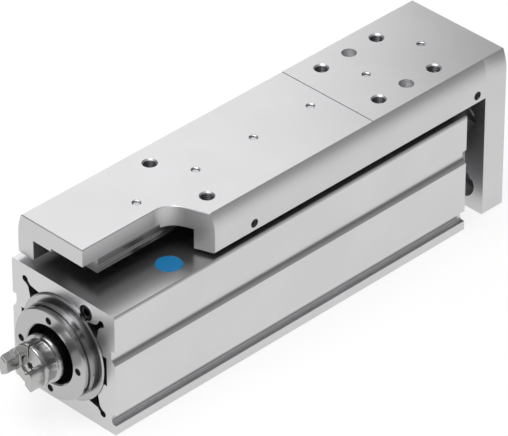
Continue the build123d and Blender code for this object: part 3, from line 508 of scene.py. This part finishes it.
low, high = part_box("end_cap_screws")
cap_head, cap_height, cap_shank, cap_key, cap_pitch = 2.1, 1.6, 1.15, 2.0, 0.4
cap_length = (high.y - low.y) / mm - cap_height
screw = socket_screw(cap_head, cap_height, cap_shank, cap_length, cap_key, cap_pitch)
bm = copies(screw, [
    facing((x, high.y - cap_height * mm, z), (0, 1, 0))
    for x in (low.x + cap_head * mm, high.x - cap_head * mm)
    for z in (low.z + cap_head * mm, high.z - cap_head * mm)
])
piece("cap_screw_set", bm, zinc_steel, "body_unit", "screw_steel", "end_cap_screws")


# Lubrication plug. Moulded in blue plastic and pressed into the body's top. Reflections leave
# it out, because the photograph's metal shows none of its blue.

# Moulded blue plastic is one even colour, with a soft skin that scatters more than it mirrors
blue_plastic = surface("moulded_blue_plastic", "#0c74aa", 0.5, 0.3, spread=0.04, metallic=0.0)
finish(blue_plastic, "lubrication_plug")
frame["nodes"]["lubrication_plug"].visible_glossy = False


# Guide. A ground and hardened rail upside down under the slide plate, on balls in a carriage
# that is screwed to the body between two plastic end caps.
finish(black_plastic, "carriage_front_cap", "carriage_rear_cap")
finish(zinc_steel, "carriage_screws")
finish(polished_steel, "guide_balls")

# Ground rail steel is bright, and its fine lines along the travel draw out what it mirrors
rail_steel = surface("ground_rail_steel", "#a4a4a5", 0.22, 0.2, "Y", bump=0.4)
finish(rail_steel, "guide_rail", "guide_carriage")

small_head, small_height, small_shank, small_key, small_pitch = 2.75, 2.2, 1.5, 2.0, 0.5


def small_screw(length):
    """One of the small cap screws that hold the rail and the yoke."""
    return socket_screw(small_head, small_height, small_shank, length, small_key, small_pitch)


low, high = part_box("rail_screws")
rail_pitch = 25.0
rail_first, rail_last = low.y + small_head * mm, high.y - small_head * mm
rail_gaps = round((rail_last - rail_first) / (rail_pitch * mm))
rail_places = [rail_first + (rail_last - rail_first) * index / rail_gaps for index in range(rail_gaps + 1)]
rail_screw_top = high.z
rail_seat = low.z + small_height * mm
screw = small_screw((high.z - rail_seat) / mm)
bm = copies(screw, [facing((0, y, rail_seat), (0, 0, -1)) for y in rail_places])
piece("rail_screw_set", bm, zinc_steel, "slide_unit", "screw_steel", "rail_screws")


# Slide plate and yoke. Milled from aluminium plate and natural anodised, with countersunk
# threads for the load, small ones in the flanks, and dowels and screws that join the two.
load_pitch, load_bite, load_countersink = 0.8, 0.32, 0.45
plate_thickness = 7.2
side_pitch, side_bite, side_start, side_depth = 0.5, 0.27, 0.9, 4.0

# Anodised plate is satin and even, with hardly a tool mark
slide_finish = surface("satin_anodised_plate", "#d0d0d1", 0.38, 0.3, spread=0.01, bump=0.03)
finish(slide_finish, "slide_plate", "yoke_plate")
break_edges("yoke_plate")
finish(ground_steel, "yoke_dowels")

bm = bmesh.new()
for name in ("slide_bolts_rear", "slide_bolts_front"):
    hole_threads(name, load_pitch, load_bite, load_countersink, plate_thickness, bm)
for name in ("slide_side_holes_right", "slide_side_holes_left"):
    hole_threads(name, side_pitch, side_bite, side_start, side_depth, bm)
# The load and flank holes' threads are darkened with the same painted shade
piece("slide_threads", bm, painted_shade_thread_finish, "slide_unit", "machined_aluminium")

# The rail screws end below the plate's face, and their holes show a clean thread above them.
# hole_play is the room between a screw and its hole.
hole_play = 0.02
mouth_start = 0.02
rail_mouth = mounts["slide_bolts_front"]["pos_m"][2]
ridge = thread_ridge(small_shank + hole_play + foot_sunk, small_shank - side_bite, small_pitch, mouth_start,
                     (rail_mouth - rail_screw_top) / mm + small_pitch)
bm = copies(ridge, [facing((0, y, rail_mouth), (0, 0, 1)) for y in rail_places])
piece("rail_hole_threads", bm, slide_finish, "slide_unit", "machined_aluminium")

low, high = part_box("yoke_screws")
yoke_inner_side = 5.0 * mm
yoke_side = high.x - small_head * mm
yoke_seat = high.y - small_height * mm
screw = small_screw((yoke_seat - low.y) / mm)
bm = copies(screw, [
    facing((x, yoke_seat, z), (0, 1, 0))
    for side, z in ((yoke_side, low.z + small_head * mm), (yoke_inner_side, high.z - small_head * mm))
    for x in (-side, side)
])
piece("yoke_screw_set", bm, zinc_steel, "slide_unit", "screw_steel", "yoke_screws")

low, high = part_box("rod_bolt")
bolt_head, bolt_height, bolt_shank, bolt_key, bolt_pitch = 5.0, 5.0, 3.0, 5.0, 1.0
bolt_seat = high.y - bolt_height * mm
screw = socket_screw(bolt_head, bolt_height, bolt_shank, (bolt_seat - low.y) / mm, bolt_key, bolt_pitch)
bm = copies(screw, [facing((0, bolt_seat, axis_height), (0, 1, 0))])
piece("rod_end_bolt", bm, zinc_steel, "slide_unit", "screw_steel", "rod_bolt")


# Sizes. The box round the dressed module, in metres.
low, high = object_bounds()
